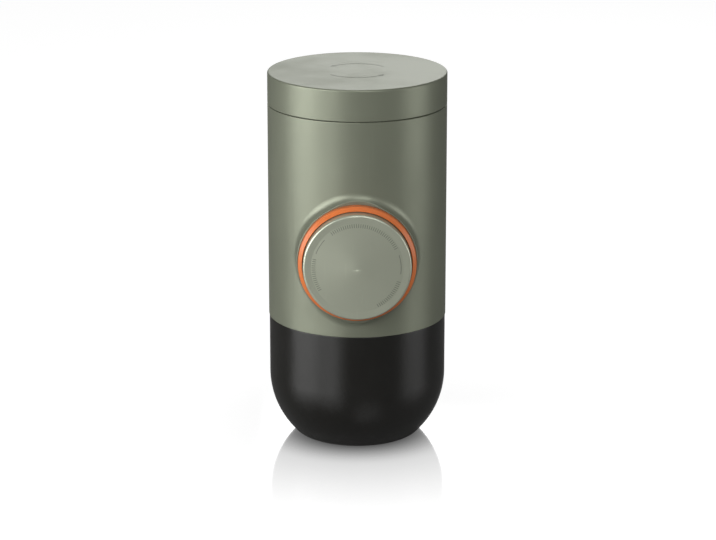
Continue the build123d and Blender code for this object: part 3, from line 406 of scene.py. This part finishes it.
def joined(parts):
    """One set of points and quads from several (x, y, quads)."""
    xs, ys, quads, first = [], [], [], 0
    for x, y, faces in parts:
        xs.append(x.ravel())
        ys.append(y.ravel())
        quads.append(faces + first)
        first += x.size
    return np.concatenate(xs), np.concatenate(ys), np.concatenate(quads)


def arrow_head(radius, angle, length, width):
    """Arrow head on a circle: its tip lies length along the circle from angle.

    Its base has three corners at angle, at radius - width/2, radius and radius + width/2.
    """
    r = np.array([radius - width / 2, radius, radius + width / 2, radius])
    a = np.array([angle, angle, angle, angle + length / radius])
    return r * np.cos(a), r * np.sin(a), np.array([[0, 1, 2, 3]])


def coil_mesh(radius, wire, turns, low, high, sides=12, per_turn=40):
    """Wire of a coil spring whose axis is the third coordinate, from low to high, with closed ends.

    The wire's middle has the first two coordinates radius times the cosine and sine of an angle that
    grows evenly over the turns, and a height that grows evenly with it. Each ring around it is half
    the wire's width times the ring angle's cosine outwards, plus its sine square to both the outward
    direction and the wire.
    """
    angle = np.linspace(0, 2 * np.pi * turns, per_turn * turns + 1)[:, None]
    rise = (high - low - wire) / angle[-1, 0]
    slant = np.hypot(radius, rise)
    around = np.linspace(0, 2 * np.pi, sides, endpoint=False)
    outward, square = wire / 2 * np.cos(around), wire / 2 * np.sin(around)
    x = (radius + outward) * np.cos(angle) + square * np.sin(angle) * rise / slant
    y = (radius + outward) * np.sin(angle) - square * np.cos(angle) * rise / slant
    z = low + wire / 2 + rise * angle + square * radius / slant
    index = np.arange(x.size).reshape(x.shape)
    loop = np.concatenate([index, index[:, :1]], axis=1)
    quads = np.stack([loop[:-1, :-1], loop[1:, :-1], loop[1:, 1:], loop[:-1, 1:]], axis=-1)
    ends = [index[0].tolist(), index[-1, ::-1].tolist()]
    return x, y, z, quads.reshape(-1, 4).tolist() + ends


def knob_face_y(radius):
    """Y of the knob's face at a radius: flat band outside, cone inside."""
    band = KNOB_RADIUS - KNOB_BAND
    return -(KNOB_TIP - KNOB_CONE * np.minimum(radius / band, 1.0))


# ---------------------------------------------------------------- operators
class ESPRESSO_OT_stage(bpy.types.Operator):
    """Set up the camera, the floor and the studio lamps"""
    bl_idname = "espresso.stage"
    bl_label = "Stage"

    def execute(self, context):
        stage = context.scene.espresso_stage
        scene = context.scene
        scene.view_settings.view_transform = "Standard"

        camera = bpy.data.objects.new("Camera", bpy.data.cameras.new("Camera"))
        scene.collection.objects.link(camera)
        camera.location = (0.0, -stage.distance, stage.height)
        camera.rotation_euler = (math.pi / 2 - stage.pitch, 0.0, 0.0)
        camera.data.lens = stage.lens
        camera.data.sensor_width = 36.0
        camera.data.shift_x = 0.001
        camera.data.clip_start = 0.01
        scene.camera = camera

        for *place, power in LAMPS:
            self.lamp(*place, getattr(stage, power))
        self.room(stage.room)
        self.floor()
        return {"FINISHED"}

    def lamp(self, name, around, rise, distance, size, power):
        """Softbox that faces the object's middle: degrees around it from the knob's side, and above it."""
        data = bpy.data.lights.new(name, "AREA")
        data.shape = "RECTANGLE"
        data.size, data.size_y = size
        data.energy = power
        turn, lift = math.radians(around), math.radians(rise)
        across, out = math.sin(turn) * math.cos(lift), -math.cos(turn) * math.cos(lift)
        offset = distance * Vector((across, out, math.sin(lift)))
        lamp = bpy.data.objects.new(name, data)
        lamp.location = LAMP_AIM + offset
        lamp.rotation_euler = (-offset).to_track_quat("-Z", "Y").to_euler()
        lamp.visible_camera = False
        bpy.context.scene.collection.objects.link(lamp)

    def room(self, brightness):
        """Dim room with a white backdrop: the camera and clear parts see it all, gloss sees its middle."""
        world = bpy.data.worlds.new("Room")
        world.use_nodes = True
        tree = world.node_tree
        tree.nodes.clear()
        out = add_node(tree, "ShaderNodeOutputWorld", (600, 0))
        seen = add_node(tree, "ShaderNodeLightPath", (-700, 300))
        white = add_node(tree, "ShaderNodeBackground", (100, -120))
        white.inputs["Color"].default_value = (1.0, 1.0, 1.0, 1.0)
        even = add_node(tree, "ShaderNodeBackground", (100, 60))
        even.inputs["Color"].default_value = (1.0, 1.0, 1.0, 1.0)
        even.inputs["Strength"].default_value = brightness
        where = add_node(tree, "ShaderNodeTexCoord", (-1300, 0))
        split = add_node(tree, "ShaderNodeSeparateXYZ", (-1100, 0))
        side = add_node(tree, "ShaderNodeMath", (-900, 0), operation="ABSOLUTE")
        middle = add_node(tree, "ShaderNodeMapRange", (-700, 0), interpolation_type="SMOOTHSTEP")
        middle.inputs["From Min"].default_value = PANEL_EDGE
        middle.inputs["From Max"].default_value = PANEL_CORE
        behind = add_node(tree, "ShaderNodeMath", (-700, -260), operation="GREATER_THAN")
        behind.inputs[1].default_value = 0.0
        panel = add_node(tree, "ShaderNodeMath", (-450, -60), operation="MULTIPLY")
        gloss = add_node(tree, "ShaderNodeMath", (-250, 0), operation="MULTIPLY")
        direct = add_node(tree, "ShaderNodeMath", (-450, 260), operation="MAXIMUM")
        either = add_node(tree, "ShaderNodeMath", (-50, 200), operation="MAXIMUM")
        mix = add_node(tree, "ShaderNodeMixShader", (350, 0))
        links = tree.links
        links.new(where.outputs["Generated"], split.inputs[0])
        links.new(split.outputs["X"], side.inputs[0])
        links.new(side.outputs[0], middle.inputs["Value"])
        links.new(split.outputs["Y"], behind.inputs[0])
        links.new(middle.outputs["Result"], panel.inputs[0])
        links.new(behind.outputs[0], panel.inputs[1])
        links.new(seen.outputs["Is Glossy Ray"], gloss.inputs[0])
        links.new(panel.outputs[0], gloss.inputs[1])
        links.new(seen.outputs["Is Camera Ray"], direct.inputs[0])
        links.new(seen.outputs["Is Transmission Ray"], direct.inputs[1])
        links.new(direct.outputs[0], either.inputs[0])
        links.new(gloss.outputs[0], either.inputs[1])
        links.new(either.outputs[0], mix.inputs[0])
        links.new(even.outputs[0], mix.inputs[1])
        links.new(white.outputs[0], mix.inputs[2])
        links.new(mix.outputs[0], out.inputs["Surface"])
        bpy.context.scene.world = world

    def floor(self):
        """Wide sheet under the object, whose mirror share fades out with the distance from the foot: near the
        foot the mirror takes the place of the white glow and shows the cup's real mirror image, and where it
        sees the dim room it is a painted shade round the foot.

        The camera and clear parts see it white, and everything else sees it grey.
        """
        along = np.linspace(-FLOOR_HALF, FLOOR_HALF, FLOOR_POINTS)
        x, y = np.meshgrid(along, along, indexing="ij")
        points = np.stack([x, y, np.full_like(x, -FLOOR_DROP)], axis=-1)
        material = bpy.data.materials.new("White sheet")
        material.use_nodes = True
        tree = material.node_tree
        tree.nodes.clear()
        out = add_node(tree, "ShaderNodeOutputMaterial", (900, 0))
        grey = add_node(tree, "ShaderNodeBsdfPrincipled", (0, -500))
        grey.inputs["Base Color"].default_value = (0.30, 0.30, 0.30, 1.0)
        grey.inputs["Roughness"].default_value = 0.12
        grey.inputs["Specular IOR Level"].default_value = 0.8
        matt = add_node(tree, "ShaderNodeBsdfDiffuse", (0, 200))
        matt.inputs["Color"].default_value = (0.30, 0.30, 0.30, 1.0)
        glow = add_node(tree, "ShaderNodeEmission", (0, 60))
        glow.inputs["Strength"].default_value = 0.92
        white = add_node(tree, "ShaderNodeAddShader", (250, 150))
        mirror = add_node(tree, "ShaderNodeBsdfGlossy", (250, -100))
        mirror.inputs["Roughness"].default_value = 0.08
        where = add_node(tree, "ShaderNodeTexCoord", (-1000, 400))
        radius = add_node(tree, "ShaderNodeVectorMath", (-800, 400), operation="LENGTH")
        # These ramps swap the white glow for mirror towards the foot: a real mirror image, and a painted
        # shade where the mirror sees the dim room.
        near = add_node(tree, "ShaderNodeMapRange", (-550, 550), interpolation_type="SMOOTHSTEP")
        fade = add_node(tree, "ShaderNodeMapRange", (-550, 250))
        for span, (start, end, amount) in ((near, MIRROR_AND_SHADE_NEAR), (fade, MIRROR_AND_SHADE_FADE)):
            span.inputs["From Min"].default_value = start
            span.inputs["From Max"].default_value = end
            span.inputs["To Min"].default_value = amount
            span.inputs["To Max"].default_value = 0.0
        bend = add_node(tree, "ShaderNodeMath", (-350, 250), operation="POWER")
        bend.inputs[1].default_value = MIRROR_BEND
        share = add_node(tree, "ShaderNodeMath", (-150, 400), operation="MULTIPLY_ADD")
        share.inputs[1].default_value = MIRROR_SHARE
        seen = add_node(tree, "ShaderNodeLightPath", (0, -200))
        either = add_node(tree, "ShaderNodeMath", (250, -250), operation="MAXIMUM")
        direct = add_node(tree, "ShaderNodeMixShader", (500, 100))
        total = add_node(tree, "ShaderNodeMixShader", (700, 0))
        links = tree.links
        links.new(where.outputs["Object"], radius.inputs[0])
        for span in (near, fade):
            links.new(radius.outputs["Value"], span.inputs["Value"])
        links.new(fade.outputs["Result"], bend.inputs[0])
        links.new(bend.outputs[0], share.inputs[0])
        links.new(near.outputs["Result"], share.inputs[2])
        links.new(matt.outputs[0], white.inputs[0])
        links.new(glow.outputs[0], white.inputs[1])
        links.new(share.outputs[0], direct.inputs[0])
        links.new(white.outputs[0], direct.inputs[1])
        links.new(mirror.outputs[0], direct.inputs[2])
        links.new(seen.outputs["Is Camera Ray"], either.inputs[0])
        links.new(seen.outputs["Is Transmission Ray"], either.inputs[1])
        links.new(either.outputs[0], total.inputs[0])
        links.new(grey.outputs[0], total.inputs[1])
        links.new(direct.outputs[0], total.inputs[2])
        links.new(total.outputs[0], out.inputs["Surface"])
        faces = grid_faces(FLOOR_POINTS, FLOOR_POINTS)
        surface("floor", points, faces, material, smooth=False)


class ESPRESSO_OT_mouldings(bpy.types.Operator):
    """Finish the sage barrel, lid and knob, the black cup and the orange collar"""
    bl_idname = "espresso.mouldings"
    bl_label = "Outer mouldings"

    def execute(self, context):
        finish = context.scene.espresso_finish
        sage = moulded("Sage moulding", finish.sage, finish.grain, depth=0.00003, rough=(0.38, 0.46),
                       metal=finish.sheen)
        black = moulded("Black cup", finish.black, finish.grain, depth=0.00003, rough=(0.29, 0.37), level=0.7)
        orange = moulded("Orange collar", finish.orange, finish.grain, depth=0.00002, rough=(0.34, 0.42))
        # Knob: its colour is partly its own paler tone and partly a painted highlight for the light falling
        # on its face.
        face = moulded("Sage knob", finish.face, finish.grain * FINE_GRAIN, depth=0.00001, rough=(0.32, 0.40),
                       metal=finish.sheen * KNOB_SHEEN)
        finish_nodes(sage, "barrel_shell", "lid_cap")
        finish_nodes(face, "knob_shell")
        finish_nodes(black, "cup_shell")
        finish_nodes(orange, "knob_collar")
        return {"FINISHED"}


class ESPRESSO_OT_inner_parts(bpy.types.Operator):
    """Finish the tank, pump, plunger, brew head, seals, springs and screws"""
    bl_idname = "espresso.inner_parts"
    bl_label = "Inner parts"

    def execute(self, context):
        finish = context.scene.espresso_finish
        inner = moulded("Inner black", finish.inner, finish.grain, depth=0.00003, rough=(0.42, 0.55))
        rubber = moulded("Seal rubber", finish.rubber, finish.grain, depth=0.00004, rough=(0.55, 0.7),
                         level=0.3)
        steel = brushed_steel("Brushed steel", finish.steel)
        smoke = smoked_clear("Smoked tank", finish.smoke)
        finish_nodes(inner, "guide_sleeve", "knob_hub", "hub_retainer", "piston_head", "pump_body",
                     "pump_end_cap", "inlet_seat", "outlet_gland", "lid_liner", "group_plate",
                     "filter_holder", "spout_nozzle", "inlet_poppet", "outlet_poppet")
        finish_nodes(rubber, "piston_seal", "end_cap_seal", "outlet_seal", "neck_seal", "spigot_seal",
                     "lid_gasket", "lid_vent_valve", "cup_seal", "group_gasket")
        finish_nodes(steel, "piston_rod", "return_spring", "hub_screws", "end_cap_screws", "flange_screws",
                     "inlet_spring", "outlet_spring", "group_screws", "shower_screen", "screen_screw",
                     "filter_basket")
        finish_nodes(smoke, "water_tank")
        return {"FINISHED"}


class ESPRESSO_OT_springs(bpy.types.Operator):
    """Coil the return spring and the two valve springs in place of their CAD parts"""
    bl_idname = "espresso.springs"
    bl_label = "Springs"

    def execute(self, context):
        steel = brushed_steel("Spring wire", context.scene.espresso_finish.steel)
        low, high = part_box("return_spring")
        middle = (low + high) / 2
        radius = (high.x - low.x - RETURN_WIRE) / 2
        x, y, z, faces = coil_mesh(radius, RETURN_WIRE, RETURN_TURNS, low.y, high.y)
        points = np.stack([middle.x + x, z, middle.z - y], axis=-1)
        fixed, moving = (middle.x, high.y, middle.z), (middle.x, low.y, middle.z)
        self.spring("return_coil", points, faces, steel, "return_spring", "plunger", fixed, moving)
        for kind in ("inlet", "outlet"):
            low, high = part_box(kind + "_spring")
            middle = (low + high) / 2
            radius = (high.x - low.x - VALVE_WIRE) / 2
            x, y, z, faces = coil_mesh(radius, VALVE_WIRE, VALVE_TURNS, low.z, high.z)
            points = np.stack([middle.x + x, middle.y + y, z], axis=-1)
            fixed, moving = (middle.x, middle.y, low.z), (middle.x, middle.y, high.z)
            self.spring(kind + "_coil", points, faces, steel, kind + "_spring", kind + "_valve",
                        fixed, moving)
        return {"FINISHED"}

    def spring(self, name, points, faces, material, node, body, fixed, moving):
        """Coil that stands for a CAD node, which it hides; body, fixed and moving are not used."""
        piece = surface(name, points, faces, material)
        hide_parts(node)
        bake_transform(piece)


class ESPRESSO_OT_marks(bpy.types.Operator):
    """Print plain graduations on the knob's face and turning arrows on the lid"""
    bl_idname = "espresso.marks"
    bl_label = "Turning marks"

    def execute(self, context):
        marks = context.scene.espresso_marks
        paint = moulded("Mark paint", marks.paint, MARK_GRAIN, depth=0.00001, rough=(0.45, 0.6), level=0.3)
        radius = KNOB_RADIUS * marks.circle
        parts = [ticks(radius, marks.tick, marks.stroke, *map(math.radians, span))
                 for span in KNOB_TICKS]
        parts += [printed_arc(radius, marks.stroke, *map(math.radians, span)) for span in KNOB_ARCS]
        x, y, quads = joined(parts)
        depth = knob_face_y(np.hypot(x, y)) - marks.lift
        points = np.stack([x, depth, PUMP_Z + y], axis=-1)
        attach(surface("knob_marks", points, quads, paint, smooth=False), "knob")

        ring = BODY_RADIUS * LID_ARC_SHARE
        parts = []
        for start in LID_ARC_STARTS:
            end = math.radians(start + LID_ARC_SPAN)
            parts += [printed_arc(ring, marks.stroke * 2, math.radians(start), end),
                      arrow_head(ring, end, ARROW_SIZE, ARROW_SIZE)]
        x, y, quads = joined(parts)
        points = np.stack([x, y, np.full_like(x, LID_TOP + marks.lift)], axis=-1)
        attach(surface("lid_marks", points, quads, paint, smooth=False), "lid")
        return {"FINISHED"}


class ESPRESSO_PT_panel(bpy.types.Panel):
    """Lists the espresso maker's settings and steps"""
    bl_idname = "ESPRESSO_PT_panel"
    bl_label = "Hand espresso maker"
    bl_space_type = "VIEW_3D"
    bl_region_type = "UI"
    bl_category = "Espresso"

    def draw(self, context):
        for step in STEPS:
            self.layout.operator(step.bl_idname)
        for group in (context.scene.espresso_finish, context.scene.espresso_marks,
                      context.scene.espresso_stage):
            box = self.layout.box()
            for name in group.__annotations__:
                box.prop(group, name)


STEPS = (ESPRESSO_OT_stage, ESPRESSO_OT_mouldings, ESPRESSO_OT_inner_parts, ESPRESSO_OT_springs,
         ESPRESSO_OT_marks)
CLASSES = (FinishSettings, MarkSettings, StageSettings) + STEPS + (ESPRESSO_PT_panel,)


def register():
    for cls in CLASSES:
        bpy.utils.register_class(cls)
    bpy.types.Scene.espresso_finish = PointerProperty(type=FinishSettings)
    bpy.types.Scene.espresso_marks = PointerProperty(type=MarkSettings)
    bpy.types.Scene.espresso_stage = PointerProperty(type=StageSettings)


def unregister():
    del bpy.types.Scene.espresso_stage
    del bpy.types.Scene.espresso_marks
    del bpy.types.Scene.espresso_finish
    for cls in reversed(CLASSES):
        bpy.utils.unregister_class(cls)


def main():
    register()
    bpy.ops.espresso.stage()
    bpy.ops.espresso.mouldings()
    bpy.ops.espresso.inner_parts()
    bpy.ops.espresso.springs()
    bpy.ops.espresso.marks()


if __name__ == "__main__":
    main()
